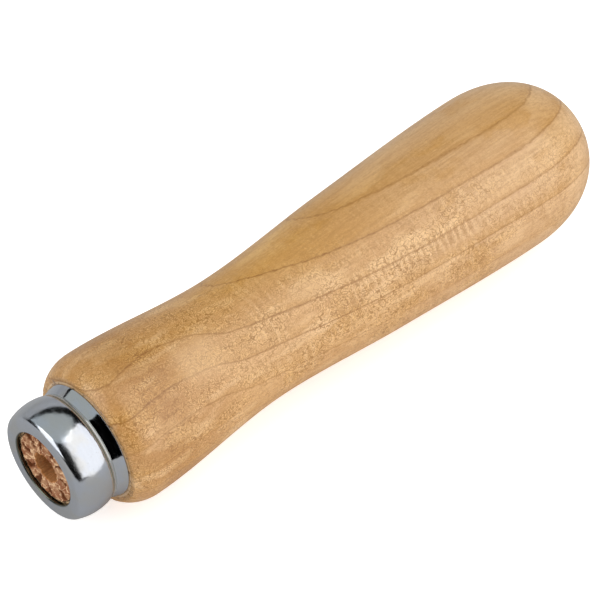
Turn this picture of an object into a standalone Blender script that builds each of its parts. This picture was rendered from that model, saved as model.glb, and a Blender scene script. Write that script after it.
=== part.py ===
"""Wooden file handle with a pressed steel ferrule.

The handle lies along X with its ferrule at -X and its butt at +X. The origin is under the middle
of the handle, at the height of the lowest point of its belly, and +Z is up.

Outlines are lists of (station, radius) points. A station is measured along the handle's axis from
the flat front of the ferrule towards the butt, and a radius from the axis.
"""

import math

import bmesh
import bpy
from mathutils import Matrix

MM = 0.001

# Whole handle
HANDLE_LENGTH = 120.0 * MM
BELLY_RADIUS = 15.0 * MM
RING_STEPS = 48
FITTING_GAP = 0.3 * MM

# Ferrule, a pressed sheet-steel cap
FERRULE_LENGTH = 9.5 * MM
SHEET_THICKNESS = 0.8 * MM
MOUTH_RADIUS = 7.06 * MM
LIP_EDGE_RADIUS = 0.3 * MM
FRONT_CORNER_RADIUS = 1.2 * MM
BULGE_STATION = 4.1 * MM
BULGE_RADIUS = 10.74 * MM
CROWN_RADIUS = 9.6 * MM
BULGE_BACK_RADIUS = 2.85 * MM
BULGE_BACK_START = math.radians(77.0)
BULGE_BACK_END = math.radians(60.0)
GROOVE_RADIUS = 0.8 * MM
BAND_FLARE = math.radians(22.0)

# Wooden grip
SHOULDER_STATION = 14.8 * MM
SHOULDER_RADIUS = 14.0 * MM
SHOULDER_ROUND_LENGTH = 6.25 * MM
SHOULDER_ROUND_DEPTH = 4.55 * MM
WAIST_STATION = 43.5 * MM
WAIST_RADIUS = 11.95 * MM
SWELL_STATION = 70.3 * MM
SWELL_RADIUS = 13.65 * MM
SWELL_SLOPE = 0.052
BELLY_STATION = 101.5 * MM
BUTT_FULLNESS = 2.22
TENON_RADIUS = 8.9 * MM
BOSS_STATION = 0.5 * MM

# Tang bore, drilled from the ferrule end
BORE_RADIUS = 2.9 * MM
BORE_DEPTH = 55.0 * MM
DRILL_POINT_ANGLE = math.radians(118.0)

# Tooth marks of the lathe's drive centre, round the mouth of the bore
MARK_COUNT = 10
MARK_INNER_RADIUS = 3.7 * MM
MARK_OUTER_RADIUS = 6.2 * MM
MARK_INNER_DEPTH = 0.25 * MM
MARK_OUTER_DEPTH = 0.55 * MM
MARK_WIDENING = 1.7
MARK_FIRST_ANGLE = math.radians(21.0)

MERGE_DISTANCE = 0.00001
SMOOTH_ANGLE = math.radians(35.0)
PARTS_COLLECTION = "file_handle"
CUTTERS_COLLECTION = "cutters"


def remove_everything():
    """Empty the scene of objects."""
    for item in list(bpy.data.objects):
        bpy.data.objects.remove(item, do_unlink=True)


def new_collection(name):
    """Make a collection and link it to the scene."""
    collection = bpy.data.collections.new(name)
    bpy.context.scene.collection.children.link(collection)
    return collection


def new_material(name, colour, roughness, metallic):
    """Make a Principled material."""
    material = bpy.data.materials.new(name)
    material.use_nodes = True
    shader = material.node_tree.nodes["Principled BSDF"]
    shader.inputs["Base Color"].default_value = (*colour, 1.0)
    shader.inputs["Roughness"].default_value = roughness
    shader.inputs["Metallic"].default_value = metallic
    return material


def arc(centre, radius, start, end, steps):
    """Points on an arc. Angles run from the +station direction towards the +radius direction."""
    points = []
    for step in range(steps + 1):
        angle = start + (end - start) * step / steps
        station = centre[0] + radius * math.cos(angle)
        points.append((station, centre[1] + radius * math.sin(angle)))
    return points


def smooth_run(start, end, start_slope, end_slope, steps):
    """Points on a cubic curve between two stations, without the end point."""
    length = end[0] - start[0]
    points = []
    for step in range(steps):
        t = step / steps
        radius = (
            (2 * t**3 - 3 * t**2 + 1) * start[1]
            + (t**3 - 2 * t**2 + t) * length * start_slope
            + (3 * t**2 - 2 * t**3) * end[1]
            + (t**3 - t**2) * length * end_slope
        )
        points.append((start[0] + length * t, radius))
    return points


def butt_outline():
    """The rounded butt, from its tip to the belly."""
    steps = 9
    power = 2.0 / BUTT_FULLNESS
    length = HANDLE_LENGTH - BELLY_STATION
    points = [(HANDLE_LENGTH, 0.0)]
    for step in range(1, steps):
        angle = 0.5 * math.pi * (1.0 - step / steps)
        station = BELLY_STATION + length * math.sin(angle) ** power
        points.append((station, BELLY_RADIUS * math.cos(angle) ** power))
    return points


def body_outline():
    """The swelling body, from the belly through the waist to the shoulder."""
    belly = (BELLY_STATION, BELLY_RADIUS)
    swell = (SWELL_STATION, SWELL_RADIUS)
    waist = (WAIST_STATION, WAIST_RADIUS)
    shoulder = (SHOULDER_STATION, SHOULDER_RADIUS)
    points = smooth_run(belly, swell, 0.0, SWELL_SLOPE, 4)
    points += smooth_run(swell, waist, SWELL_SLOPE, 0.0, 4)
    points += smooth_run(waist, shoulder, 0.0, 0.0, 5)
    return points


def shoulder_outline(shoulder_face):
    """The rounded shoulder, from its largest radius down to the flat face behind the ferrule."""
    steps = 5
    reach = (SHOULDER_STATION - shoulder_face) / SHOULDER_ROUND_LENGTH
    last_angle = math.asin(reach)
    points = []
    for step in range(steps + 1):
        angle = last_angle * step / steps
        station = SHOULDER_STATION - SHOULDER_ROUND_LENGTH * math.sin(angle)
        radius = SHOULDER_RADIUS - SHOULDER_ROUND_DEPTH * (1.0 - math.cos(angle))
        points.append((station, radius))
    return points


def tenon_outline(shoulder_face):
    """The tenon inside the ferrule, and the boss that shows in the ferrule's mouth."""
    tenon_end = SHEET_THICKNESS + FITTING_GAP
    boss_radius = MOUTH_RADIUS - FITTING_GAP
    return [
        (shoulder_face, TENON_RADIUS),
        (tenon_end, TENON_RADIUS),
        (tenon_end, boss_radius),
        (BOSS_STATION, boss_radius),
    ]


def bore_outline():
    """The blind tang bore, from its mouth to the tip that the drill left."""
    wall_end = BOSS_STATION + BORE_DEPTH
    point_length = BORE_RADIUS / math.tan(0.5 * DRILL_POINT_ANGLE)
    return [
        (BOSS_STATION, BORE_RADIUS),
        (wall_end, BORE_RADIUS),
        (wall_end + point_length, 0.0),
    ]


def grip_outline():
    """The grip's whole outline, from the tip of the butt to the tip of the bore."""
    shoulder_face = FERRULE_LENGTH + FITTING_GAP
    points = butt_outline() + body_outline()
    points += shoulder_outline(shoulder_face)
    points += tenon_outline(shoulder_face)
    points += bore_outline()
    return points


def ferrule_outline():
    """The ferrule's closed section: down its outer side to the front, then back up inside."""
    up = math.radians(90.0)
    forward = math.radians(180.0)
    crown_centre = (BULGE_STATION, BULGE_RADIUS - CROWN_RADIUS)

    # Back of the bulge: a rounder convex arc, then the concave groove
    reach = CROWN_RADIUS - BULGE_BACK_RADIUS
    back_centre = arc(crown_centre, reach, BULGE_BACK_START, BULGE_BACK_START, 1)[0]
    reach = BULGE_BACK_RADIUS + GROOVE_RADIUS
    groove_centre = arc(back_centre, reach, BULGE_BACK_END, BULGE_BACK_END, 1)[0]

    # Flared band: a straight cone that starts where the groove has the same slope
    groove_top = forward + up + BAND_FLARE
    band_front = arc(groove_centre, GROOVE_RADIUS, groove_top, groove_top, 1)[0]
    band_rear_radius = band_front[1] + (FERRULE_LENGTH - band_front[0]) * math.tan(BAND_FLARE)

    # Front corner: an arc that meets both the crown and the flat front
    reach = CROWN_RADIUS - FRONT_CORNER_RADIUS
    offset = BULGE_STATION - FRONT_CORNER_RADIUS
    corner_centre = (FRONT_CORNER_RADIUS, crown_centre[1] + math.sqrt(reach**2 - offset**2))
    corner_angle = math.pi - math.acos(offset / reach)

    points = [(FERRULE_LENGTH, band_rear_radius)]
    points += arc(groove_centre, GROOVE_RADIUS, groove_top, BULGE_BACK_END + forward, 4)
    points += arc(back_centre, BULGE_BACK_RADIUS, BULGE_BACK_END, BULGE_BACK_START, 3)[1:]
    points += arc(crown_centre, CROWN_RADIUS, BULGE_BACK_START, corner_angle, 6)[1:]
    points += arc(corner_centre, FRONT_CORNER_RADIUS, corner_angle, forward, 4)[1:]
    lip_centre = (LIP_EDGE_RADIUS, MOUTH_RADIUS + LIP_EDGE_RADIUS)
    points += arc(lip_centre, LIP_EDGE_RADIUS, forward, forward + up, 2)

    # Inner side, one sheet thickness inside the outer one
    inner_corner = FRONT_CORNER_RADIUS - SHEET_THICKNESS
    inner_crown = CROWN_RADIUS - SHEET_THICKNESS
    groove_bottom = groove_centre[1] - GROOVE_RADIUS
    points.append((SHEET_THICKNESS, MOUTH_RADIUS))
    points += arc(corner_centre, inner_corner, forward, corner_angle, 2)
    points += arc(crown_centre, inner_crown, corner_angle, BULGE_BACK_START, 3)[1:]
    points.append((groove_centre[0], groove_bottom - SHEET_THICKNESS))
    points.append((band_front[0], band_front[1] - SHEET_THICKNESS))
    points.append((FERRULE_LENGTH, band_rear_radius - SHEET_THICKNESS))
    return points


def lay_along_x(item):
    """Turn an object made round local Z so that the handle lies along X on its belly."""
    item.rotation_euler = (0.0, math.radians(90.0), 0.0)
    item.location = (-0.5 * HANDLE_LENGTH, 0.0, BELLY_RADIUS)


def turned_part(name, outline, closed, material, collection):
    """Turn an outline round the handle's axis into a smooth-shaded solid."""
    corners = [(radius, 0.0, station) for station, radius in outline]
    edges = [(index, index + 1) for index in range(len(corners) - 1)]
    if closed:
        edges.append((len(corners) - 1, 0))
    profile = bpy.data.meshes.new(name + "_profile")
    profile.from_pydata(corners, edges, [])
    part = bpy.data.objects.new(name, profile)
    collection.objects.link(part)
    screw = part.modifiers.new("turning", "SCREW")
    screw.axis = "Z"
    screw.angle = math.radians(360.0)
    screw.steps = RING_STEPS
    screw.render_steps = RING_STEPS
    screw.use_merge_vertices = True
    screw.merge_threshold = MERGE_DISTANCE

    # The turning is made permanent, so that its sharp edges can be marked
    evaluated = part.evaluated_get(bpy.context.evaluated_depsgraph_get())
    solid = bpy.data.meshes.new_from_object(evaluated)
    solid.name = name
    part.modifiers.clear()
    part.data = solid
    bpy.data.meshes.remove(profile)
    solid.shade_smooth()
    solid.set_sharp_from_angle(angle=SMOOTH_ANGLE)
    solid.materials.append(material)
    lay_along_x(part)
    return part


def tooth_mark_cutter(collection):
    """The drive centre's teeth: tapered three-sided wedges, their sharp edges in the end grain."""
    shape = bmesh.new()
    length = MARK_OUTER_RADIUS - MARK_INNER_RADIUS
    middle = 0.5 * (MARK_OUTER_RADIUS + MARK_INNER_RADIUS)
    for index in range(MARK_COUNT):
        angle = MARK_FIRST_ANGLE + math.radians(360.0) * index / MARK_COUNT
        place = (
            Matrix.Rotation(angle, 4, "Z")
            @ Matrix.Translation((middle, 0.0, BOSS_STATION))
            @ Matrix.Scale(MARK_WIDENING, 4, (0.0, 1.0, 0.0))
            @ Matrix.Rotation(math.radians(90.0), 4, "Y")
            @ Matrix.Rotation(math.radians(90.0), 4, "Z")
        )
        bmesh.ops.create_cone(
            shape,
            cap_ends=True,
            segments=3,
            radius1=MARK_INNER_DEPTH,
            radius2=MARK_OUTER_DEPTH,
            depth=length,
            matrix=place,
        )
    mesh = bpy.data.meshes.new("drive_centre_teeth")
    shape.to_mesh(mesh)
    shape.free()
    cutter = bpy.data.objects.new("drive_centre_teeth", mesh)
    cutter.hide_render = True
    cutter.display_type = "WIRE"
    collection.objects.link(cutter)
    lay_along_x(cutter)
    return cutter


def press_tooth_marks(grip, cutter):
    """Cut the drive centre's marks into the end of the grip."""
    cut = grip.modifiers.new("tooth_marks", "BOOLEAN")
    cut.operation = "DIFFERENCE"
    cut.solver = "EXACT"
    cut.object = cutter


def build():
    """Make the handle."""
    remove_everything()
    parts = new_collection(PARTS_COLLECTION)
    cutters = new_collection(CUTTERS_COLLECTION)
    wood = new_material("turned_maple", (0.60, 0.36, 0.17), 0.45, 0.0)
    steel = new_material("zinc_plated_steel", (0.66, 0.68, 0.71), 0.18, 1.0)
    grip = turned_part("wooden_grip", grip_outline(), False, wood, parts)
    press_tooth_marks(grip, tooth_mark_cutter(cutters))
    turned_part("steel_ferrule", ferrule_outline(), True, steel, parts)


build()
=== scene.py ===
"""Looks of the wooden file handle: turned maple, a zinc-plated steel ferrule and a small studio.

The handle lies along X with its ferrule at -X and its butt at +X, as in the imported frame. Outlines
are lists of (station, radius) points in millimetres. A station is measured along the handle's axis
from the flat front of the ferrule towards the butt, and a radius from the axis. Angles round the
axis run from +Y towards +Z.
"""

import math
from types import SimpleNamespace

import bpy
import numpy as np
from mathutils import Matrix, Vector, noise


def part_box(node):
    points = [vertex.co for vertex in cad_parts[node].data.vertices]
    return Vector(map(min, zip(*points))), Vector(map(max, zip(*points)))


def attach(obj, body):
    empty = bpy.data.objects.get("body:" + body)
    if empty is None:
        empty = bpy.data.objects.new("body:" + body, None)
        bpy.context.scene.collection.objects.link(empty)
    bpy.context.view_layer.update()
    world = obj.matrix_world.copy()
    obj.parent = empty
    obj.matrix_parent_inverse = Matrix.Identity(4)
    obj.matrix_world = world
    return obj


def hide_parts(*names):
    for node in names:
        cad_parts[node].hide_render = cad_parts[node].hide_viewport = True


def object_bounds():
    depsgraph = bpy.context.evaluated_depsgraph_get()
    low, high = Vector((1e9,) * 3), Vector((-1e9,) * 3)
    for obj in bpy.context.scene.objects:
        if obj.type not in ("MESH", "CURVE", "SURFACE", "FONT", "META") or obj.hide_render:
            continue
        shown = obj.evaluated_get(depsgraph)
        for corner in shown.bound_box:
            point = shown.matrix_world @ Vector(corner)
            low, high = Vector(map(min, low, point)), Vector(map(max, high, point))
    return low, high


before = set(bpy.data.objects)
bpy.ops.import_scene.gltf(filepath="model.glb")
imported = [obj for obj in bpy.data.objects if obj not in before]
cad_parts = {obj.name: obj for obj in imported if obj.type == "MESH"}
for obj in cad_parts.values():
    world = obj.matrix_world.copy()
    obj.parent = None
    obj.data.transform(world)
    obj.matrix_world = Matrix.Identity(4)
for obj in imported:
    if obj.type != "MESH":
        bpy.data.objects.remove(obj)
CAD_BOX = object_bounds()

MM = 0.001

# Slack in millimetres where points are picked by their place
TOLERANCE = 0.001

# Whole handle, in millimetres
HANDLE_LENGTH = 120.0
BELLY_RADIUS = 15.0
RING_STEPS = 288

# Ferrule. A slope is positive where the sheet widens towards the butt, and 0 at the bulge's crown
FERRULE_LENGTH = 9.6
SHEET_THICKNESS = 0.8
MOUTH_RADIUS = 7.06
LIP_EDGE_RADIUS = 0.3
CROWN = (4.1, 10.74)
CROWN_RADIUS = 9.6
FRONT_BEND_START = math.radians(20.0)
FRONT_CORNER_RADIUS = 1.2
BACK_BEND_START = math.radians(-13.0)
BACK_BEND_RADIUS = 2.85
BACK_BEND_END = math.radians(-30.0)
GROOVE_RADIUS = 0.8
BAND_FLARE = math.radians(22.0)
REAR_EDGE_RADIUS = 0.08
REAR_EDGE_STEPS = 6
INNER_CORNER_DROP = 0.1
FERRULE_SHARP_ANGLE = math.radians(50.0)

# Wooden grip
SHOULDER_STATION = 14.8
SHOULDER_RADIUS = 14.0
SHOULDER_ROUND_LENGTH = 6.25
SHOULDER_ROUND_DEPTH = 4.55
SHOULDER_FACE = 9.72
WAIST_STATION = 43.5
WAIST_RADIUS = 11.95
SWELL_STATION = 70.3
SWELL_RADIUS = 13.65
SWELL_SLOPE = 0.052
BELLY_STATION = 101.5
BUTT_FULLNESS = 2.22
TENON_RADIUS = 8.9
TENON_END = 1.0
BOSS_STATION = 0.5
BOSS_RADIUS = 6.76
BOSS_EDGE_RADIUS = 0.35

# Wear of the edge behind the ferrule. The depth is everywhere, and added on the underside
WORN_RADIUS = 11.0
WORN_REACH = 1.4
WORN_DEPTH = (0.16, 0.34)
WORN_LEAST = 0.05

# Tang bore
BORE_RADIUS = 2.75
BORE_MOUTH_EDGE = 0.15
BORE_DEPTH = 55.0
BORE_FINE_END = 12.0
DRILL_POINT_ANGLE = math.radians(118.0)

# How ragged the bore's wall is: the stations where it gets smoother, and for the coarse and the
# fine noise the height inside and the height added at the mouth
RAGGED_REACH = (1.0, 7.0)
COARSE_RAG = (0.05, 0.30)
FINE_RAG = (0.03, 0.08)

# Tooth marks of the lathe's drive centre: angle, inner and outer radius, half width, depth
TOOTH_MARKS = (
    (112.0, 3.9, 6.4, 0.62, 0.80),
    (76.0, 3.7, 6.1, 0.68, 0.72),
    (45.0, 3.8, 6.5, 0.75, 0.82),
    (4.0, 3.9, 6.2, 0.66, 0.70),
    (-35.0, 3.7, 6.3, 0.58, 0.86),
    (-67.0, 3.6, 6.4, 0.70, 0.78),
    (-96.0, 4.1, 6.2, 0.64, 0.62),
    (-141.0, 4.2, 6.3, 0.72, 0.76),
    (174.0, 3.5, 5.2, 0.50, 0.54),
    (137.0, 3.6, 6.5, 0.56, 0.78),
)

# A mark's width and depth are shares of its own at the inner end, and added at the outer end. Its
# ends fade in from either side of its inner and outer radius
MARK_WANDER = 0.4
MARK_WIDTH = (0.45, 0.85)
MARK_DEPTH = (0.55, 0.45)
MARK_INNER_END = (-0.3, 0.5)
MARK_OUTER_END = (-0.1, 0.35)
MARK_WALL_POWER = 0.8

# Hollows of the torn end grain: noise scale, depth, width of the ridges between them, seed
TORN_HOLLOWS = (
    (0.8, 0.16, 0.35, 1.0),
    (1.9, 0.10, 0.30, 2.0),
)


# ---------------------------------------------------------------- outlines


def arc(centre, radius, start, end, steps):
    """Points on an arc. Angles run from the +station direction towards the +radius direction."""
    points = []
    for step in range(steps + 1):
        angle = start + (end - start) * step / steps
        station = centre[0] + radius * math.cos(angle)
        points.append((station, centre[1] + radius * math.sin(angle)))
    return points


def smooth_run(start, end, start_slope, end_slope, steps):
    """Points on a cubic curve between two stations, without the end point."""
    length = end[0] - start[0]
    points = []
    for step in range(steps):
        t = step / steps
        radius = (
            (2 * t**3 - 3 * t**2 + 1) * start[1]
            + (t**3 - 2 * t**2 + t) * length * start_slope
            + (3 * t**2 - 2 * t**3) * end[1]
            + (t**3 - t**2) * length * end_slope
        )
        points.append((start[0] + length * t, radius))
    return points


def straight_run(start, end, steps):
    """Points on a straight line, without the end point."""
    points = []
    for step in range(steps):
        t = step / steps
        points.append((start[0] + (end[0] - start[0]) * t, start[1] + (end[1] - start[1]) * t))
    return points


def butt_outline():
    """The rounded butt, from its tip to the belly."""
    steps = 48
    power = 2.0 / BUTT_FULLNESS
    length = HANDLE_LENGTH - BELLY_STATION
    points = [(HANDLE_LENGTH, 0.0)]
    for step in range(1, steps):
        angle = 0.5 * math.pi * (1.0 - step / steps)
        station = BELLY_STATION + length * math.sin(angle) ** power
        points.append((station, BELLY_RADIUS * math.cos(angle) ** power))
    return points


def body_outline():
    """The swelling body, from the belly through the waist to the shoulder."""
    belly = (BELLY_STATION, BELLY_RADIUS)
    swell = (SWELL_STATION, SWELL_RADIUS)
    waist = (WAIST_STATION, WAIST_RADIUS)
    shoulder = (SHOULDER_STATION, SHOULDER_RADIUS)
    points = smooth_run(belly, swell, 0.0, SWELL_SLOPE, 32)
    points += smooth_run(swell, waist, SWELL_SLOPE, 0.0, 28)
    points += smooth_run(waist, shoulder, 0.0, 0.0, 32)
    return points


def shoulder_outline():
    """The rounded shoulder, from its largest radius down to the flat face behind the ferrule."""
    steps = 20
    reach = (SHOULDER_STATION - SHOULDER_FACE) / SHOULDER_ROUND_LENGTH
    last_angle = math.asin(reach)
    points = []
    for step in range(steps + 1):
        angle = last_angle * step / steps
        station = SHOULDER_STATION - SHOULDER_ROUND_LENGTH * math.sin(angle)
        radius = SHOULDER_RADIUS - SHOULDER_ROUND_DEPTH * (1.0 - math.cos(angle))
        points.append((station, radius))
    return points


def tenon_outline():
    """The flat face behind the ferrule and the tenon inside it, without the end point."""
    edge = shoulder_outline()[-1]
    points = straight_run(edge, (SHOULDER_FACE, TENON_RADIUS), 12)[1:]
    points += straight_run((SHOULDER_FACE, TENON_RADIUS), (TENON_END, TENON_RADIUS), 6)
    points += straight_run((TENON_END, TENON_RADIUS), (TENON_END, BOSS_RADIUS), 4)
    return points


def boss_outline():
    """The boss that shows in the ferrule's mouth, with a rounded rim, down to the bore."""
    centre = (BOSS_STATION + BOSS_EDGE_RADIUS, BOSS_RADIUS - BOSS_EDGE_RADIUS)
    points = [(TENON_END, BOSS_RADIUS)]
    points += arc(centre, BOSS_EDGE_RADIUS, math.radians(90.0), math.radians(180.0), 6)
    edge = BORE_MOUTH_EDGE
    mouth = (BOSS_STATION, BORE_RADIUS + edge)
    points += straight_run(points[-1], mouth, 60)[1:]
    mouth_centre = (BOSS_STATION + edge, BORE_RADIUS + edge)
    points += arc(mouth_centre, edge, math.radians(180.0), math.radians(270.0), 5)
    return points


def bore_outline():
    """The blind tang bore, from its mouth to the tip that the drill left."""
    start = (BOSS_STATION + BORE_MOUTH_EDGE, BORE_RADIUS)
    wall_end = (BOSS_STATION + BORE_DEPTH, BORE_RADIUS)
    point_length = BORE_RADIUS / math.tan(0.5 * DRILL_POINT_ANGLE)
    points = straight_run(start, (BORE_FINE_END, BORE_RADIUS), 40)[1:]
    points += straight_run((BORE_FINE_END, BORE_RADIUS), wall_end, 12)
    points += straight_run(wall_end, (wall_end[0] + point_length, 0.0), 6)
    points.append((wall_end[0] + point_length, 0.0))
    return points


def grip_outline():
    """The grip's whole outline, from the tip of the butt to the tip of the bore."""
    points = butt_outline() + body_outline() + shoulder_outline()
    points += tenon_outline() + boss_outline() + bore_outline()
    return points


def bend(start, radius, first_slope, last_slope, steps):
    """Points on a bend that starts tangent to a slope and ends at another, towards the butt."""
    sense = 1.0 if last_slope < first_slope else -1.0
    reach = sense * radius
    points = []
    for step in range(1, steps + 1):
        slope = first_slope + (last_slope - first_slope) * step / steps
        station = start[0] + reach * (math.sin(first_slope) - math.sin(slope))
        points.append((station, start[1] + reach * (math.cos(slope) - math.cos(first_slope))))
    return points


def ferrule_outer():
    """The ferrule's outer side, from its flat front over the bulge and groove to the rear edge."""
    upright = math.radians(90.0)

    # The front is bent backwards from the origin, mirrored on to the crown, and stretched to reach 0
    front = bend((0.0, 0.0), CROWN_RADIUS, 0.0, -FRONT_BEND_START, 10)
    front += bend(front[-1], FRONT_CORNER_RADIUS, -FRONT_BEND_START, -upright, 20)
    front = [(CROWN[0] - station, CROWN[1] + radius) for station, radius in front]
    shift = front[-1][0]
    front = [(station - shift * (1.0 - station / CROWN[0]), radius) for station, radius in front]

    back = bend(CROWN, CROWN_RADIUS, 0.0, BACK_BEND_START, 8)
    back += bend(back[-1], BACK_BEND_RADIUS, BACK_BEND_START, BACK_BEND_END, 10)
    back += bend(back[-1], GROOVE_RADIUS, BACK_BEND_END, BAND_FLARE, 16)
    rear = FERRULE_LENGTH - REAR_EDGE_RADIUS
    rear_radius = back[-1][1] + (rear - back[-1][0]) * math.tan(BAND_FLARE)
    back += straight_run(back[-1], (rear, rear_radius), 12)[1:] + [(rear, rear_radius)]
    back += bend(back[-1], REAR_EDGE_RADIUS, BAND_FLARE, -upright, REAR_EDGE_STEPS)
    return front[::-1] + [CROWN] + back


def ferrule_outline():
    """The ferrule's closed section: down its outer side to the front, then back up inside."""
    forward = math.radians(180.0)
    outer = ferrule_outer()
    points = outer[::-1]
    lip_centre = (LIP_EDGE_RADIUS, MOUTH_RADIUS + LIP_EDGE_RADIUS)
    points += straight_run(points[-1], (0.0, lip_centre[1]), 8)[1:]
    points += arc(lip_centre, LIP_EDGE_RADIUS, forward, 1.5 * forward, 8)

    # Inner side, one sheet thickness inside the outer one and with fewer points
    points.append((SHEET_THICKNESS, MOUTH_RADIUS))
    points.append((SHEET_THICKNESS, outer[0][1] - INNER_CORNER_DROP))
    for station, radius in outer[4:-REAR_EDGE_STEPS:3]:
        if station > FRONT_CORNER_RADIUS:
            points.append((station, radius - SHEET_THICKNESS))
    rear_radius = outer[-REAR_EDGE_STEPS - 1][1]
    points.append((FERRULE_LENGTH, rear_radius - SHEET_THICKNESS))
    return points


# ---------------------------------------------------------------- meshes


def turned_points(outline, closed):
    """Stations, radii and angles of a turned piece's points, and its faces."""
    count = len(outline)
    rows = []
    stations = []
    radii = []
    angles = []
    for station, radius in outline:
        steps = 1 if radius == 0.0 else RING_STEPS
        rows.append((len(stations), steps))
        for step in range(steps):
            stations.append(station)
            radii.append(radius)
            angles.append(2.0 * math.pi * step / RING_STEPS)
    faces = []
    for row in range(count if closed else count - 1):
        first, first_steps = rows[row]
        second, second_steps = rows[(row + 1) % count]
        for step in range(RING_STEPS):
            after = (step + 1) % RING_STEPS
            near = [first + step % first_steps, first + after % first_steps]
            far = [second + after % second_steps, second + step % second_steps]
            corners = near[:first_steps if first_steps == 1 else 2]
            corners += far[:second_steps if second_steps == 1 else 2]
            faces.append(corners)
    return np.array(stations), np.array(radii), np.array(angles), faces


def axis_height():
    """Height of the handle's axis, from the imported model's box."""
    low, high = CAD_BOX
    return 0.5 * (low[2] + high[2])


def front_end():
    """X of the ferrule's flat front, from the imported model."""
    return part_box("steel_ferrule")[0][0]


def turned_piece(name, stations, radii, angles, faces, node):
    """Make a smooth-shaded piece from turned points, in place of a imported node."""
    corners = np.empty((len(stations), 3))
    corners[:, 0] = front_end() + stations * MM
    corners[:, 1] = radii * np.cos(angles) * MM
    corners[:, 2] = axis_height() + radii * np.sin(angles) * MM
    mesh = bpy.data.meshes.new(name)
    mesh.from_pydata(corners.tolist(), [], faces)
    mesh.validate()
    mesh.shade_smooth()
    piece = bpy.data.objects.new(name, mesh)
    bpy.context.scene.collection.objects.link(piece)
    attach(piece, "root")
    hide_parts(node)
    return piece


def add_attribute(piece, name, values):
    """Store one number for each point of a piece."""
    attribute = piece.data.attributes.new(name, "FLOAT", "POINT")
    attribute.data.foreach_set("value", np.asarray(values, dtype=np.float32))


def smoothstep(low, high, values):
    """0 below low, 1 above high, and a smooth change between."""
    t = np.clip((values - low) / (high - low), 0.0, 1.0)
    return t * t * (3.0 - 2.0 * t)


def noise_field(across, along, seed):
    """Smooth noise in -1..1 at each point."""
    values = [noise.noise(Vector((a, b, seed))) for a, b in zip(across, along)]
    return np.array(values)


def round_noise(angles, size, seed, shift=0.0):
    """Noise round the axis that closes on itself. A larger size gives finer noise."""
    return noise_field(size * np.cos(angles) + shift, size * np.sin(angles), seed)


def tooth_depth(radii, angles):
    """Depth of the drive centre's marks in the end grain, in millimetres."""
    across = radii * np.cos(angles)
    up = radii * np.sin(angles)
    wander = MARK_WANDER * noise_field(across * 0.9, up * 0.9, 4.0)
    depth = np.zeros(len(radii))
    for degrees, inner, outer, half_width, deepest in TOOTH_MARKS:
        angle = math.radians(degrees)
        out = across * math.cos(angle) + up * math.sin(angle)
        side = np.abs(up * math.cos(angle) - across * math.sin(angle) + wander)
        reach = np.clip((out - inner) / (outer - inner), 0.0, 1.0)
        width = half_width * (MARK_WIDTH[0] + MARK_WIDTH[1] * reach)
        inner_end = smoothstep(inner + MARK_INNER_END[0], inner + MARK_INNER_END[1], out)
        outer_end = 1.0 - smoothstep(outer + MARK_OUTER_END[0], outer + MARK_OUTER_END[1], out)
        wedge = np.clip(1.0 - side / width, 0.0, 1.0) ** MARK_WALL_POWER
        mark = deepest * (MARK_DEPTH[0] + MARK_DEPTH[1] * reach)
        depth = np.maximum(depth, mark * wedge * inner_end * outer_end)
    return depth


def torn_relief(radii, angles):
    """Torn hollows of the end grain with thin ridges left between them, in millimetres."""
    across = radii * np.cos(angles)
    up = radii * np.sin(angles)
    hollows = np.zeros(len(radii))
    for scale, depth, ridge, seed in TORN_HOLLOWS:
        field = noise_field(across * scale, up * scale, seed)
        hollows += depth * smoothstep(0.0, ridge, np.abs(field))
    return hollows + 0.03 * noise_field(across * 6.0, up * 6.0, 3.0)


def ragged_bore(stations, angles):
    """How far the bore's wall stands off its drilled radius: ragged at the mouth, smoother inside."""
    mouth = 1.0 - smoothstep(*RAGGED_REACH, stations)
    coarse = round_noise(angles, size=3.0, seed=5.0, shift=7.0)
    fine = round_noise(angles, size=9.0, seed=6.0)
    coarse_height = COARSE_RAG[0] + COARSE_RAG[1] * mouth
    fine_height = FINE_RAG[0] + FINE_RAG[1] * mouth
    return coarse_height * coarse + fine_height * fine


def worn_edge(stations, angles):
    """Depth of the wear and chips in the edge behind the ferrule, deepest on the underside."""
    chips = round_noise(angles, size=13.0, seed=8.0)
    chips += 0.6 * round_noise(angles, size=30.0, seed=9.0)
    near = 1.0 - smoothstep(0.0, WORN_REACH, stations - SHOULDER_FACE)
    underside = 0.5 - 0.5 * np.sin(angles)
    depth = WORN_DEPTH[0] + WORN_DEPTH[1] * underside
    return depth * near * np.clip(chips - WORN_LEAST, 0.0, 1.0)


def make_grip():
    """The turned grip, with torn end grain round the bore and a worn edge behind the ferrule."""
    stations, radii, angles, faces = turned_points(grip_outline(), False)
    in_mouth = stations <= BOSS_STATION + BOSS_EDGE_RADIUS + TOLERANCE
    in_mouth &= radii <= BOSS_RADIUS
    depth = np.zeros(len(stations))
    depth[in_mouth] = tooth_depth(radii[in_mouth], angles[in_mouth])
    relief = np.zeros(len(stations))
    relief[in_mouth] = torn_relief(radii[in_mouth], angles[in_mouth])
    stations = stations + depth + relief

    # The butt's tip is as close to the axis as the bore is, but lies behind the belly
    in_bore = (radii > 0.0) & (radii <= BORE_RADIUS + BORE_MOUTH_EDGE + TOLERANCE)
    in_bore &= stations < BELLY_STATION
    radii[in_bore] += ragged_bore(stations[in_bore], angles[in_bore])
    on_edge = (radii > WORN_RADIUS) & (stations < SHOULDER_FACE + WORN_REACH)
    stations[on_edge] += worn_edge(stations[on_edge], angles[on_edge])

    piece = turned_piece("grip_wood", stations, radii, angles, faces, "wooden_grip")
    add_attribute(piece, "tooth_depth", depth)
    add_attribute(piece, "end_grain", in_mouth.astype(float))
    add_attribute(piece, "in_bore", in_bore.astype(float))
    return piece


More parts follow.
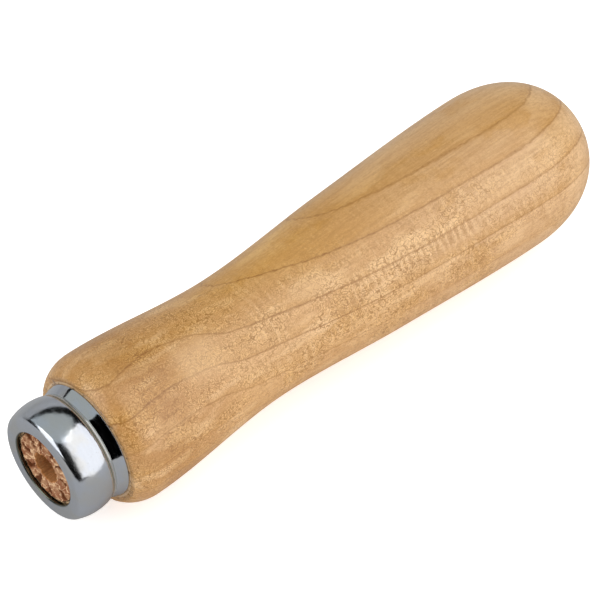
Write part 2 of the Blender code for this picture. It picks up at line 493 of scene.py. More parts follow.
def make_ferrule():
    """The pressed ferrule."""
    stations, radii, angles, faces = turned_points(ferrule_outline(), True)
    piece = turned_piece("ferrule_steel", stations, radii, angles, faces, "steel_ferrule")
    piece.data.set_sharp_from_angle(angle=FERRULE_SHARP_ANGLE)
    return piece


# ---------------------------------------------------------------- material building


def add_node(tree, kind, inputs, **settings):
    """Add a shader node, set its properties, and link or set its inputs."""
    item = tree.nodes.new("ShaderNode" + kind)
    for name, value in settings.items():
        setattr(item, name, value)
    for key, value in inputs.items():
        if isinstance(value, bpy.types.NodeSocket):
            tree.links.new(value, item.inputs[key])
        else:
            item.inputs[key].default_value = value
    return item


def maths(tree, operation, *values):
    """A Math node's result."""
    item = add_node(tree, "Math", dict(enumerate(values)), operation=operation)
    return item.outputs[0]


def product(tree, *values):
    """The product of two or more values."""
    result = values[0]
    for value in values[1:]:
        result = maths(tree, "MULTIPLY", result, value)
    return result


def stretched(tree, vector, scale):
    """A vector multiplied by a scale along each axis."""
    inputs = {0: vector, 1: scale}
    return add_node(tree, "VectorMath", inputs, operation="MULTIPLY").outputs[0]


def noise_value(tree, vector, scale, detail=2.0, roughness=0.5):
    """A Noise Texture's value, about 0.5 on average."""
    inputs = {"Vector": vector, "Scale": scale, "Detail": detail, "Roughness": roughness}
    return add_node(tree, "TexNoise", inputs).outputs[0]


def grain_noise(tree, position, along, across, detail=2.0, roughness=0.5):
    """Noise with one scale along the handle and another across it."""
    vector = stretched(tree, position, (along, across, across))
    return noise_value(tree, vector, 1.0, detail, roughness)


def remap(tree, value, low, high, new_low=0.0, new_high=1.0, kind="SMOOTHSTEP"):
    """A value remapped from one range to another and kept inside it."""
    inputs = {0: value, 1: low, 2: high, 3: new_low, 4: new_high}
    return add_node(tree, "MapRange", inputs, interpolation_type=kind).outputs[0]


def between(tree, value, start, full, still_full, end):
    """1 between full and still_full, fading to 0 at start and at end."""
    return product(tree, remap(tree, value, start, full), remap(tree, value, end, still_full))


def blend_colour(tree, factor, first, second, mode="MIX"):
    """A Mix node's colour."""
    inputs = {0: factor, 6: as_colour(first), 7: as_colour(second)}
    return add_node(tree, "Mix", inputs, data_type="RGBA", blend_type=mode).outputs[2]


def as_colour(value):
    """A colour socket's value from a socket or three numbers."""
    if isinstance(value, bpy.types.NodeSocket):
        return value
    return (*value, 1.0)


def colour_ramp(tree, value, stops):
    """A Color Ramp's colour. Stops are (position, (red, green, blue))."""
    item = add_node(tree, "ValToRGB", {0: value})
    elements = item.color_ramp.elements
    while len(elements) > 1:
        elements.remove(elements[-1])
    elements[0].position = stops[0][0]
    elements[0].color = (*stops[0][1], 1.0)
    for position, colour in stops[1:]:
        elements.new(position).color = (*colour, 1.0)
    return item.outputs[0]


def curve_value(tree, value, points):
    """A smooth curve through (input, output) points, both in 0..1."""
    item = add_node(tree, "FloatCurve", {1: value})
    curve = item.mapping.curves[0]
    curve.points[0].location = points[0]
    curve.points[-1].location = points[-1]
    for point in points[1:-1]:
        curve.points.new(*point)
    item.mapping.update()
    return item.outputs[0]


def bump(tree, height, strength, distance, normal=None):
    """A Bump node's normal. The distance is in metres."""
    inputs = {"Height": height, "Strength": strength, "Distance": distance}
    if normal is not None:
        inputs["Normal"] = normal
    return add_node(tree, "Bump", inputs).outputs[0]


def new_material(name):
    """An empty material with a Principled shader, and its tree and shader."""
    material = bpy.data.materials.new(name)
    material.use_nodes = True
    tree = material.node_tree
    return material, tree, tree.nodes["Principled BSDF"]


def handle_position(tree):
    """Millimetres from the axis at the ferrule's front: station, across (Y) and up (Z)."""
    place = add_node(tree, "TexCoord", {}).outputs["Object"]
    start = (front_end(), 0.0, axis_height())
    moved = add_node(tree, "VectorMath", {0: place, 1: start}, operation="SUBTRACT").outputs[0]
    return stretched(tree, moved, (1.0 / MM, 1.0 / MM, 1.0 / MM))


def split(tree, vector):
    """The three numbers of a vector."""
    return add_node(tree, "SeparateXYZ", {0: vector}).outputs[:3]


def join(tree, x, y, z):
    """A vector of three numbers."""
    return add_node(tree, "CombineXYZ", {0: x, 1: y, 2: z}).outputs[0]


def point_radius(tree, across, up):
    """Distance from the handle's axis, in millimetres."""
    squares = maths(tree, "MULTIPLY_ADD", up, up, maths(tree, "MULTIPLY", across, across))
    return maths(tree, "SQRT", squares)


def point_value(tree, name):
    """A number stored on the grip's points."""
    return add_node(tree, "Attribute", {}, attribute_name=name).outputs["Fac"]


# ---------------------------------------------------------------- maple

# The growth rings are nearly flat layers. RING_TILT is the direction that they are stacked in at
# mid length, in the YZ plane, and RING_TWIST how much it turns over half the handle's length.
# RING_CURVATURE bows the layers, and RING_TAPER sets them closer at the ferrule than at the butt.
RING_TILT = math.radians(51.8)
RING_TWIST = math.radians(-11.5)
RING_CURVATURE = 0.0135
RING_TAPER = -0.15

# Height of the layers along the handle as (station, height) points, within WANDER_RANGE of 0
RING_WANDER = (
    (0.0, 6.9), (8.0, 7.6), (18.0, 8.6), (28.0, 7.35), (38.0, 3.9), (48.0, 1.9),
    (60.0, 0.0), (75.0, -1.7), (90.0, -2.8), (110.0, -4.35), (120.0, -4.9),
)
WANDER_RANGE = 10.0

# Heights and strengths of the rings' dark lines
RING_LINES = (19.5, 13.2, 9.2, 4.0, -0.7, -6.4, -12.5, -17.5)
RING_STRENGTHS = (0.8, 0.9, 1.0, 0.95, 0.95, 0.6, 0.6, 0.8)
FIELD_LOW = -26.0
FIELD_HIGH = 24.0
LEAST_CUT = 0.25
LINE_CORE = 0.02
LINE_HALF_WIDTH = 0.23

# The soft late wood beside a line: (place as a share of the field's range, share of its strength)
GLOW_STOPS = ((-0.006, 0.0), (0.002, 1.0), (0.045, 0.25))

# Colours of the long grain
MAPLE_PALE = (0.575, 0.315, 0.118)
MAPLE_WARM = (0.51, 0.256, 0.080)
MAPLE_DEEP = (0.425, 0.190, 0.042)
MAPLE_GOLD = (0.48, 0.225, 0.030)
MAPLE_BROWN = (0.31, 0.135, 0.015)
MAPLE_FLECK = (0.86, 0.53, 0.21)
MAPLE_CREAM = (0.80, 0.53, 0.28)
MAPLE_BUFF = (0.575, 0.345, 0.175)
MAPLE_LINE = (0.27, 0.100, 0.002)
GOLDEN_TINT = (1.0, 0.98, 0.72)
SHOULDER_TINT = (0.90, 0.85, 0.70)

# Where the tones change along the handle, as stations
SHOULDER_FADE = (24.0, 38.0)
BUFF_RISE = (55.0, 95.0)
BUTT_RISE = (94.0, 114.0)
BELLY_RISE = (78.0, 98.0)
GOLDEN_FADE = (80.0, 55.0)
LINE_FADE = (55.0, 85.0)
CURL_RISE = (34.0, 46.0)

# How far the grain wanders slowly and quickly, in millimetres
SLOW_WANDER = 0.5
QUICK_WANDER = 0.40

# Where the wood is figured: heights through the rings, and stations, between which it fades
FIGURE_LAYER = (11.0, 6.0)
FIGURE_FADE = (78.0, 104.0)

# Waves of the row of curl, in radians per millimetre, and how far noise shifts them
CURL_ROW_RATE = 4.4
CURL_ROW_WAVER = 7.0

# Bands that fade in and out, as four stations or four heights through the rings
DEEP_BAND = (14.0, 17.5, 20.5, 24.0)
PALE_BAND = (23.0, 27.0, 30.0, 37.0)
BELLY_LAYER = (3.6, 5.0, 7.0, 9.2)
CURL_ROW_LAYER = (0.9, 2.3, 4.4, 5.3)
CURL_ROW_REACH = (52.0, 66.0, 82.0, 92.0)

# The waist's pale band is on the camera's side: heights through the rings, and places along Y
PALE_BAND_LAYER = (-4.0, 0.0)
PALE_BAND_SIDE = (0.0, -4.5)

# The edge behind the ferrule: a pale line of bare wood and painted highlight, and dark nicks of
# painted shade
EDGE_BARE_AND_HIGHLIGHT = (0.80, 0.60, 0.38)
EDGE_NICK_SHADE = (0.12, 0.045, 0.020)
EDGE_RADIUS = 11.15
EDGE_REACH = (SHOULDER_FACE + 0.8, SHOULDER_FACE + 0.4)

# Colours of the end grain and the bore, with painted shade in the tooth marks and a painted shadow at
# the boss's rim
END_PALE = (0.70, 0.46, 0.27)
END_TAN = (0.36, 0.185, 0.095)
END_RED = (0.25, 0.095, 0.042)
END_CRUSHED_AND_SHADE = (0.12, 0.030, 0.006)
RIM_SHADOW = (0.035, 0.028, 0.012)
RIM_REACH = (BOSS_RADIUS - 0.30, BOSS_RADIUS - 0.02)
BORE_BROWN = (0.42, 0.175, 0.055)
BORE_SHARE = 0.85

# Finish of the long grain, and how much of it the torn wood loses
MAPLE_ROUGHNESS = (0.38, 0.52)
TORN_ROUGHNESS = 0.8
MAPLE_SPECULAR = 0.75
TORN_SPECULAR_LOSS = 0.6
COAT_WEIGHT = 0.38
COAT_ROUGHNESS = 0.25
FIBRE_HEIGHT = 0.00008


def turned(tree, vector, angle):
    """A vector turned about X."""
    inputs = {"Vector": vector, "Angle": angle}
    return add_node(tree, "VectorRotate", inputs, rotation_type="X_AXIS").outputs[0]


def layer_drop(tree, station):
    """How far the ring layers lie below their height at mid length, in millimetres."""
    points = []
    for place, height in RING_WANDER:
        points.append((place / HANDLE_LENGTH, (height + WANDER_RANGE) / (2.0 * WANDER_RANGE)))
    share = maths(tree, "DIVIDE", station, HANDLE_LENGTH)
    curve = curve_value(tree, share, points)
    return maths(tree, "MULTIPLY_ADD", curve, -2.0 * WANDER_RANGE, WANDER_RANGE)


def ring_field(tree, position):
    """Height through the stack of growth rings in millimetres, and how steeply the wood cuts it."""
    station, _, _ = split(tree, position)
    middle = maths(tree, "MULTIPLY_ADD", station, 2.0 / HANDLE_LENGTH, -1.0)
    turn = maths(tree, "MULTIPLY_ADD", middle, -RING_TWIST, -RING_TILT)
    _, stack, side = split(tree, turned(tree, position, turn))
    field = maths(tree, "ADD", stack, layer_drop(tree, station))
    bowed = maths(tree, "MULTIPLY", side, side)
    field = maths(tree, "MULTIPLY_ADD", bowed, RING_CURVATURE, field)
    spread = maths(tree, "MULTIPLY_ADD", middle, RING_TAPER, 1.0)

    # Where the surface runs along the rings their lines would smear out wide
    outward = add_node(tree, "TexCoord", {}).outputs["Normal"]
    facing = split(tree, turned(tree, outward, turn))[1]
    cut = maths(tree, "SUBTRACT", 1.0, maths(tree, "MULTIPLY", facing, facing))
    cut = maths(tree, "MAXIMUM", maths(tree, "SQRT", cut), LEAST_CUT)
    return maths(tree, "MULTIPLY", field, spread), cut


def ring_shades(tree, field, cut):
    """Darkness of the ring lines and of the softer late wood beside them, as two values."""
    line = None
    stops = []
    for height, strength in sorted(zip(RING_LINES, RING_STRENGTHS)):
        away = maths(tree, "ABSOLUTE", maths(tree, "SUBTRACT", field, height))
        away = maths(tree, "DIVIDE", away, cut)
        shade = remap(tree, away, LINE_CORE, LINE_HALF_WIDTH, strength, 0.0, kind="LINEAR")
        line = shade if line is None else maths(tree, "MAXIMUM", line, shade)
        place = (height - FIELD_LOW) / (FIELD_HIGH - FIELD_LOW)
        for beyond, share in GLOW_STOPS:
            shade_here = share * strength
            stops.append((place + beyond, (shade_here, shade_here, shade_here)))
    place = remap(tree, field, FIELD_LOW, FIELD_HIGH, kind="LINEAR")
    return line, colour_ramp(tree, place, stops)


def worm_marks(tree, position, along, across, seed, width):
    """Thin wandering marks and the paler rims beside them, each 1 on itself and 0 elsewhere."""
    inputs = {0: position, 1: (seed, seed, seed)}
    moved = add_node(tree, "VectorMath", inputs, operation="ADD").outputs[0]
    value = grain_noise(tree, moved, along, across, 1.0)
    away = maths(tree, "ABSOLUTE", maths(tree, "SUBTRACT", value, 0.5))
    mark = remap(tree, away, 0.0, width, 1.0, 0.0)
    return mark, between(tree, away, width, 1.5 * width, 2.0 * width, 3.2 * width)


def figured_share(tree, position, field):
    """How strongly the wood is figured: most on the middle of the camera's side."""
    station, _, _ = split(tree, position)
    across = remap(tree, field, *FIGURE_LAYER, 0.22, 1.0)
    along = remap(tree, station, *FIGURE_FADE, 1.0, 0.55)
    areas = grain_noise(tree, position, 0.11, 0.22)
    return product(tree, across, along, remap(tree, areas, 0.36, 0.58, 0.45, 1.0))


def maple_grain(tree):
    """The values that the maple's colours are mixed from."""
    position = handle_position(tree)
    station, across, up = split(tree, position)

    # The grain wanders a little, at two scales
    field, cut = ring_field(tree, position)
    slow = maths(tree, "SUBTRACT", grain_noise(tree, position, 0.05, 0.12), 0.5)
    quick = maths(tree, "SUBTRACT", grain_noise(tree, position, 0.7, 1.6), 0.5)
    field = maths(tree, "MULTIPLY_ADD", slow, SLOW_WANDER, field)
    field = maths(tree, "MULTIPLY_ADD", quick, QUICK_WANDER, field)
    line, glow = ring_shades(tree, field, cut)
    return SimpleNamespace(
        position=position,
        station=station,
        across=across,
        radius=point_radius(tree, across, up),
        field=field,
        line=line,
        glow=glow,
        figure=figured_share(tree, position, field),
        streak=grain_noise(tree, position, 0.09, 2.0, 3.0, 0.6),
        fleck=grain_noise(tree, position, 1.5, 3.0, 2.0, 0.65),
        patch=grain_noise(tree, position, 0.08, 0.26),
        curl=grain_noise(tree, position, 1.15, 0.30, 2.0, 0.6),
        pore=grain_noise(tree, position, 1.3, 3.4, 2.0, 0.6),
    )


def broad_tones(tree, grain):
    """The long grain's broad tones, from the deep shoulder to the creamy butt."""
    station = grain.station
    broad = grain_noise(tree, grain.position, 0.04, 0.10)
    blotch = grain_noise(tree, grain.position, 0.11, 0.20)
    colour = blend_colour(tree, remap(tree, broad, 0.35, 0.65), MAPLE_WARM, MAPLE_PALE)
    shoulder = remap(tree, station, *SHOULDER_FADE, 0.95, 0.0)
    colour = blend_colour(tree, shoulder, colour, MAPLE_DEEP)
    colour = blend_colour(tree, remap(tree, station, *BUFF_RISE, 0.0, 0.60), colour, MAPLE_BUFF)
    colour = blend_colour(tree, remap(tree, station, *BUTT_RISE, 0.0, 0.30), colour, MAPLE_CREAM)
    layer = between(tree, grain.field, *BELLY_LAYER)
    layer = product(tree, layer, remap(tree, station, *BELLY_RISE, 0.0, 0.42))
    colour = blend_colour(tree, layer, colour, MAPLE_CREAM)
    colour = blend_colour(tree, product(tree, grain.glow, 0.60), colour, MAPLE_GOLD)
    colour = blend_colour(tree, remap(tree, blotch, 0.54, 0.66, 0.0, 0.50), colour, MAPLE_GOLD)
    pale_patch = remap(tree, grain.patch, 0.48, 0.36, 0.0, 0.50)
    pale_patch = product(tree, pale_patch, maths(tree, "MULTIPLY_ADD", grain.figure, 0.75, 0.25))
    colour = blend_colour(tree, pale_patch, colour, MAPLE_CREAM)
    return blend_colour(tree, remap(tree, grain.streak, 0.42, 0.62, 0.0, 0.26), colour, MAPLE_BROWN)


def add_bars(tree, colour, ripple, bar, gap, share, bar_strength, gap_strength):
    """Brown bars and creamy gaps. Bar and gap are the (start, full) values of the ripple."""
    bars = product(tree, remap(tree, ripple, *bar), share, bar_strength)
    colour = blend_colour(tree, bars, colour, MAPLE_BROWN)
    gaps = product(tree, remap(tree, ripple, *gap), share, gap_strength)
    return blend_colour(tree, gaps, colour, MAPLE_CREAM)


def add_curl(tree, colour, grain):
    """Curl: short bars across the grain, and a row of them between two growth rings."""
    share = product(tree, remap(tree, grain.station, *CURL_RISE), remap(tree, grain.patch, 0.40, 0.55))
    share = product(tree, share, grain.figure)
    colour = add_bars(tree, colour, grain.curl, (0.52, 0.60), (0.48, 0.40), share, 0.42, 0.32)
    row = between(tree, grain.field, *CURL_ROW_LAYER)
    row = product(tree, row, between(tree, grain.station, *CURL_ROW_REACH))
    phase = product(tree, grain.station, CURL_ROW_RATE)
    phase = maths(tree, "MULTIPLY_ADD", grain.curl, CURL_ROW_WAVER, phase)
    ripple = maths(tree, "SINE", phase)
    return add_bars(tree, colour, ripple, (0.15, 0.85), (-0.15, -0.85), row, 0.40, 0.30)


def add_marks(tree, colour, grain):
    """Flecks, pores and fine wandering marks, pale and dark."""
    marks, rims = worm_marks(tree, grain.position, 0.80, 1.05, 3.0, 0.034)
    finer_marks, finer_rims = worm_marks(tree, grain.position, 1.75, 1.20, 23.0, 0.045)
    marks = maths(tree, "MAXIMUM", marks, product(tree, finer_marks, 0.8))
    rims = maths(tree, "MAXIMUM", rims, product(tree, finer_rims, 0.6))
    pores = remap(tree, grain.pore, 0.57, 0.68)
    dark_flecks = remap(tree, grain.fleck, 0.52, 0.68, 0.0, 0.16)
    pale_flecks = remap(tree, grain.fleck, 0.48, 0.32, 0.0, 0.12)
    colour = blend_colour(tree, dark_flecks, colour, MAPLE_BROWN)
    colour = blend_colour(tree, pale_flecks, colour, MAPLE_FLECK)
    colour = blend_colour(tree, product(tree, rims, grain.figure, 0.42), colour, MAPLE_FLECK)
    colour = blend_colour(tree, product(tree, marks, grain.figure), colour, MAPLE_BROWN)
    return blend_colour(tree, product(tree, pores, grain.figure, 0.35), colour, MAPLE_BROWN)


def add_ring_lines(tree, colour, grain):
    """The growth rings' lines, broken by pores and fainter towards the butt."""
    line = product(tree, grain.line, remap(tree, grain.pore, 0.35, 0.60, 1.0, 0.55))
    line = product(tree, line, remap(tree, grain.station, *LINE_FADE, 1.0, 0.75))
    colour = blend_colour(tree, line, colour, MAPLE_LINE)

    # The wood is more golden towards the outside of the tree
    outer = remap(tree, grain.field, 5.0, 11.0)
    outer = product(tree, outer, remap(tree, grain.station, *GOLDEN_FADE, 0.30, 1.0))
    return blend_colour(tree, outer, colour, GOLDEN_TINT, "MULTIPLY")


def add_shoulder_bands(tree, colour, grain):
    """The shoulder ends in a deeper band, with a paler one at the waist."""
    deep = between(tree, grain.station, *DEEP_BAND)
    colour = blend_colour(tree, deep, colour, SHOULDER_TINT, "MULTIPLY")
    pale = between(tree, grain.station, *PALE_BAND)
    pale = product(tree, pale, remap(tree, grain.field, *PALE_BAND_LAYER, 0.0, 0.28))
    pale = product(tree, pale, remap(tree, grain.across, *PALE_BAND_SIDE))
    return blend_colour(tree, pale, colour, MAPLE_CREAM)


def add_edge_highlight_and_shade(tree, colour, grain):
    """The edge against the ferrule: a pale line of bare wood with a painted highlight, and nicks
    darkened with painted shade.
    """
    nicks = grain_noise(tree, grain.position, 0.8, 0.9, 2.0, 0.6)
    front = remap(tree, grain.station, *EDGE_REACH)
    # A pale line along the edge: bare wood and a painted highlight
    bare_and_highlight = remap(tree, grain.radius, EDGE_RADIUS + 0.15, EDGE_RADIUS, 0.0, 0.45)
    colour = blend_colour(tree, product(tree, front, bare_and_highlight), colour, EDGE_BARE_AND_HIGHLIGHT)
    # Dark nicks near the edge: painted shade
    nick_shade = remap(tree, grain.radius, EDGE_RADIUS + 0.6, EDGE_RADIUS + 0.2)
    nick_shade = product(tree, nick_shade, remap(tree, nicks, 0.55, 0.63), front, 0.8)
    return blend_colour(tree, nick_shade, colour, EDGE_NICK_SHADE)


def end_grain_colour(tree, grain):
    """Colour of the end grain: pale torn ridges, tan and red-brown hollows, tooth marks darkened with
    their depth as crushed fibres and painted shade, and a painted shadow at the rim.
    """
    depth = point_value(tree, "tooth_depth")
    mottle = grain_noise(tree, grain.position, 0.4, 0.45)
    crumbs = grain_noise(tree, grain.position, 0.5, 2.0, 2.0, 0.6)
    ridges, _ = worm_marks(tree, grain.position, 0.3, 0.60, 17.0, 0.048)
    colour = blend_colour(tree, remap(tree, mottle, 0.42, 0.58), END_RED, END_TAN)
    colour = blend_colour(tree, remap(tree, crumbs, 0.54, 0.68, 0.0, 0.45), colour, END_RED)
    colour = blend_colour(tree, remap(tree, crumbs, 0.44, 0.32, 0.0, 0.35), colour, END_PALE)
    colour = blend_colour(tree, product(tree, ridges, 0.85), colour, END_PALE)
    # The tooth marks are darker the deeper they are: crushed fibres and painted shade in the recess
    colour = blend_colour(tree, remap(tree, depth, 0.03, 0.25, 0.0, 0.92), colour, END_CRUSHED_AND_SHADE)
    return blend_colour(tree, remap(tree, grain.radius, *RIM_REACH), colour, RIM_SHADOW)


def maple_material():
    """Turned maple: growth rings, fibre streaks, ray flecks, curl bars and a satin finish."""
    material, tree, shader = new_material("turned_maple_satin")
    grain = maple_grain(tree)
    colour = broad_tones(tree, grain)
    colour = add_curl(tree, colour, grain)
    colour = add_marks(tree, colour, grain)
    colour = add_ring_lines(tree, colour, grain)
    colour = add_shoulder_bands(tree, colour, grain)
    colour = add_edge_highlight_and_shade(tree, colour, grain)
    end_grain = point_value(tree, "end_grain")
    in_bore = point_value(tree, "in_bore")
    colour = blend_colour(tree, end_grain, colour, end_grain_colour(tree, grain))
    colour = blend_colour(tree, product(tree, in_bore, BORE_SHARE), colour, BORE_BROWN)
    tree.links.new(colour, shader.inputs["Base Color"])

    # Torn wood is rougher and carries no coat
    torn = maths(tree, "MAXIMUM", end_grain, in_bore)
    rough = remap(tree, grain.fleck, 0.3, 0.7, *MAPLE_ROUGHNESS)
    rough = maths(tree, "MAXIMUM", rough, product(tree, torn, TORN_ROUGHNESS))
    specular = maths(tree, "MULTIPLY_ADD", torn, -TORN_SPECULAR_LOSS, MAPLE_SPECULAR)
    coat = maths(tree, "MULTIPLY_ADD", torn, -COAT_WEIGHT, COAT_WEIGHT)
    tree.links.new(rough, shader.inputs["Roughness"])
    tree.links.new(specular, shader.inputs["Specular IOR Level"])
    tree.links.new(coat, shader.inputs["Coat Weight"])
    shader.inputs["Coat Roughness"].default_value = COAT_ROUGHNESS

    fibres = bump(tree, grain.streak, 0.40, FIBRE_HEIGHT)
    fibres = bump(tree, grain.fleck, 0.30, FIBRE_HEIGHT, fibres)
    tree.links.new(fibres, shader.inputs["Normal"])
    return material


# ---------------------------------------------------------------- zinc plating

ZINC = (0.56, 0.585, 0.645)
ZINC_WARM = (0.57, 0.575, 0.585)
ZINC_SPECK = (0.28, 0.28, 0.29)
BAND_START = (7.1, 7.5)
SOFT_ROUGHNESS = (0.13, 0.21)
BRIGHT_ROUGHNESS = (0.06, 0.12)
WAVE_HEIGHT = 0.00012
DRAWN_HEIGHT = 0.00001

# Painted shade in the groove and inside the lip's edge: its colour, what it adds to the roughness and
# takes from the metal, and where the lip has it
PAINTED_SHADE_COLOUR = (0.105, 0.115, 0.080)
PAINTED_SHADE_ROUGHNESS = 0.15
PAINTED_SHADE_METAL_LOSS = 0.75
LIP_SHADE = (MOUTH_RADIUS + 0.30, MOUTH_RADIUS + 0.10)

# Painted shade in the groove: a dark line on each side of a strip with less of it. Each is four
# stations between which it fades in and out, and a strength
GROOVE_SHADE_LINES = (
    (6.5, 6.8, 7.60, 7.75, 0.35),
    (6.6, 6.85, 6.98, 7.15, 1.0),
    (7.46, 7.53, 7.60, 7.68, 0.75),
)


def groove_shade(tree, station):
    """Painted shade in the groove, in 0..1."""
    painted_shade = None
    for *stations, strength in GROOVE_SHADE_LINES:
        line = product(tree, between(tree, station, *stations), strength)
        painted_shade = line if painted_shade is None else maths(tree, "MAXIMUM", painted_shade, line)
    return painted_shade


def zinc_colour(tree, position, painted_shade, radius):
    """Bluish plating with warmer clouds and small specks, and painted shade in the groove and inside
    the lip.
    """
    cloud = noise_value(tree, position, 0.22, 3.0)
    speck = noise_value(tree, position, 5.0, 2.0, 0.6)
    colour = blend_colour(tree, remap(tree, cloud, 0.42, 0.62), ZINC, ZINC_WARM)
    colour = blend_colour(tree, remap(tree, speck, 0.64, 0.74, 0.0, 0.5), colour, ZINC_SPECK)
    # Painted shadow inside the lip's edge, where the boss's rim meets it
    lip = product(tree, remap(tree, radius, *LIP_SHADE), 0.9)
    return blend_colour(tree, maths(tree, "MAXIMUM", painted_shade, lip), colour, PAINTED_SHADE_COLOUR)


def zinc_material():
    """Bright zinc plating: soft on the bulge, mirror-bright on the band, with painted shade in the
    groove.
    """
    material, tree, shader = new_material("zinc_plating_bright")
    position = handle_position(tree)
    station, across, up = split(tree, position)
    # Painted shade in the groove, which also makes the plating rougher and less metallic there
    painted_shade = groove_shade(tree, station)
    colour = zinc_colour(tree, position, painted_shade, point_radius(tree, across, up))
    tree.links.new(colour, shader.inputs["Base Color"])
    metal = maths(tree, "MULTIPLY_ADD", painted_shade, -PAINTED_SHADE_METAL_LOSS, 1.0)
    tree.links.new(metal, shader.inputs["Metallic"])

    smear = grain_noise(tree, position, 1.6, 0.35, 4.0, 0.6)
    soft = remap(tree, smear, 0.35, 0.7, *SOFT_ROUGHNESS)
    bright = remap(tree, smear, 0.35, 0.7, *BRIGHT_ROUGHNESS)
    inputs = {0: remap(tree, station, *BAND_START), 2: soft, 3: bright}
    rough = add_node(tree, "Mix", inputs, data_type="FLOAT").outputs[0]
    rough = maths(tree, "MULTIPLY_ADD", painted_shade, PAINTED_SHADE_ROUGHNESS, rough)
    tree.links.new(rough, shader.inputs["Roughness"])

    # Drawing lines run along the cap, and the sheet is very slightly wavy
    turn = maths(tree, "ARCTAN2", up, across)
    lines = join(tree, product(tree, turn, 60.0), product(tree, station, 0.4), 0.0)
    drawn = noise_value(tree, lines, 1.0, 3.0, 0.6)
    wavy = noise_value(tree, position, 0.7, 1.0)
    normal = bump(tree, wavy, 0.25, WAVE_HEIGHT)
    normal = bump(tree, drawn, 0.06, DRAWN_HEIGHT, normal)
    tree.links.new(normal, shader.inputs["Normal"])
    return material


# ---------------------------------------------------------------- studio

# Directions are seen from the handle: +X to the butt, -Y to the camera's side, +Z up
CAMERA_TARGET = (-3.3 * MM, 0.0, 15.0 * MM)
CAMERA_BACK = (-0.4310, -0.4936, 0.7554)
CAMERA_DISTANCE = 0.690
CAMERA_LENS = 240.5
SENSOR_WIDTH = 36.0

# Name, direction, distance, width along X and height in metres, roll in degrees, radiance, colour
LIGHTS = (
    ("key_softbox", (0.37, -0.70, 0.65), 0.9, 1.14, 1.66, 0.0, 1.53, (1.0, 0.995, 0.98)),
    ("left_softbox", (-0.82, 0.25, 0.50), 0.9, 0.90, 0.74, 0.0, 1.70, (0.98, 1.0, 1.0)),
    ("overhead_panel", (-0.13, 0.41, 0.93), 1.02, 1.60, 1.24, -40.0, 0.56, (0.92, 1.0, 1.0)),
)
ROOM_GREY = 0.40
FLOOR_SIZE = 3.0
FLOOR_GAP = 0.0001
WHITE_FLOOR = 0.9
WHITE_FLOOR_GLOW = 0.50
STAGE_ROUGHNESS = 0.9
STAGE_SPECULAR = 0.1

# The grey sweep, in metres. Its shades are (y, grey) points
SWEEP_STEPS = 16
SWEEP_START = 0.35
SWEEP_RISE = math.radians(80.0)
SWEEP_RADIUS = 0.35
SWEEP_TOP = 0.09
SWEEP_TURN = math.radians(-40.0)
SWEEP_SHADES = ((-0.40, 0.50), (0.0, 0.44), (0.40, 0.40))


def aim(item, place, target):
    """Put an item at a place, looking at a target along its local -Z."""
    item.location = place
    direction = Vector(target) - Vector(place)
    item.rotation_euler = direction.to_track_quat("-Z", "Y").to_euler()


def make_camera():
    """The camera, a long lens from above the ferrule's end."""
    data = bpy.data.cameras.new("camera")
    data.lens = CAMERA_LENS
    data.sensor_width = SENSOR_WIDTH
    camera = bpy.data.objects.new("camera", data)
    bpy.context.scene.collection.objects.link(camera)
    place = Vector(CAMERA_TARGET) + Vector(CAMERA_BACK).normalized() * CAMERA_DISTANCE
    aim(camera, place, CAMERA_TARGET)
    bpy.context.scene.camera = camera


def make_lights():
    """Soft panels that face the handle, their widths along its length."""
    for name, direction, distance, width, height, roll, radiance, colour in LIGHTS:
        data = bpy.data.lights.new(name, "AREA")
        data.shape = "RECTANGLE"
        data.size = width
        data.size_y = height
        data.energy = radiance * math.pi * width * height
        data.color = colour
        light = bpy.data.objects.new(name, data)
        bpy.context.scene.collection.objects.link(light)
        away = Vector(direction).normalized()
        level = (Vector((1.0, 0.0, 0.0)) - away * away.x).normalized()
        turn = Matrix((level, away.cross(level), away)).transposed()
        turn = turn @ Matrix.Rotation(math.radians(roll), 3, "Z")
        light.matrix_world = Matrix.Translation(away * distance) @ turn.to_4x4()
        light.visible_camera = False


def make_world():
    """An even, pale room that fills the shadows. Only the panels and the floor show in the steel."""
    world = bpy.data.worlds.new("room")
    bpy.context.scene.world = world
    world.use_nodes = True
    background = world.node_tree.nodes["Background"]
    background.inputs["Color"].default_value = (ROOM_GREY, ROOM_GREY, ROOM_GREY, 1.0)
    world.cycles_visibility.glossy = False


def floor_mesh(name, outline):
    """A strip of floor from a list of (y, z) points."""
    reach = 0.5 * FLOOR_SIZE
    corners = []
    faces = []
    for index, (y, z) in enumerate(outline):
        corners += [(-reach, y, z), (reach, y, z)]
        if index:
            low = 2 * index
            faces.append((low - 2, low - 1, low + 1, low))
    mesh = bpy.data.meshes.new(name)
    mesh.from_pydata(corners, [], faces)
    mesh.shade_smooth()
    return mesh


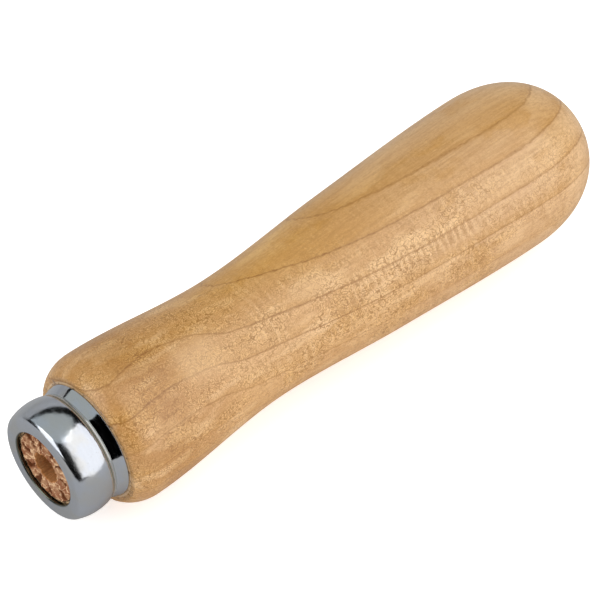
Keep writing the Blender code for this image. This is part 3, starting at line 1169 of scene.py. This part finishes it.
def make_stage(name, outline, shades, glow):
    """A plain matt floor or backdrop. Its shades are (y, grey) points."""
    mesh = floor_mesh(name, outline)
    floor = bpy.data.objects.new(name, mesh)
    bpy.context.scene.collection.objects.link(floor)
    material, tree, shader = new_material(name)
    place = add_node(tree, "TexCoord", {}).outputs["Object"]
    low, high = shades[0][0], shades[-1][0]
    share = remap(tree, split(tree, place)[1], low, high, kind="LINEAR")
    stops = [((y - low) / (high - low), (grey, grey, grey)) for y, grey in shades]
    tree.links.new(colour_ramp(tree, share, stops), shader.inputs["Base Color"])
    shader.inputs["Roughness"].default_value = STAGE_ROUGHNESS
    shader.inputs["Specular IOR Level"].default_value = STAGE_SPECULAR
    shader.inputs["Emission Color"].default_value = (1.0, 1.0, 1.0, 1.0)
    shader.inputs["Emission Strength"].default_value = glow
    mesh.materials.append(material)
    return floor


def sweep_outline():
    """A floor that curves up behind the handle, as a paper backdrop does."""
    outline = [(-0.5 * FLOOR_SIZE, 0.0), (SWEEP_START, 0.0)]
    for step in range(1, SWEEP_STEPS + 1):
        angle = SWEEP_RISE * step / SWEEP_STEPS
        y = SWEEP_START + SWEEP_RADIUS * math.sin(angle)
        outline.append((y, SWEEP_RADIUS * (1.0 - math.cos(angle))))
    last_y, last_z = outline[-1]
    outline.append((last_y, last_z + SWEEP_TOP))
    return outline


def make_floor():
    """A white floor to look at, and a greyer sweep that is only seen in the steel."""
    reach = 0.5 * FLOOR_SIZE
    flat = [(-reach, -FLOOR_GAP), (reach, -FLOOR_GAP)]
    shades = ((-reach, WHITE_FLOOR), (reach, WHITE_FLOOR))
    white = make_stage("floor_white", flat, shades, WHITE_FLOOR_GLOW)
    white.visible_glossy = False
    white.visible_shadow = False
    grey = make_stage("sweep_grey", sweep_outline(), SWEEP_SHADES, 0.0)
    grey.rotation_euler.z = SWEEP_TURN
    grey.visible_camera = False
    grey.visible_diffuse = False
    grey.visible_transmission = False
    grey.visible_shadow = False


def build():
    """Make the handle's looks and the studio."""
    grip = make_grip()
    grip.data.materials.append(maple_material())
    ferrule = make_ferrule()
    ferrule.data.materials.append(zinc_material())
    make_camera()
    make_lights()
    make_world()
    make_floor()
    bpy.context.scene.view_settings.view_transform = "Standard"


build()
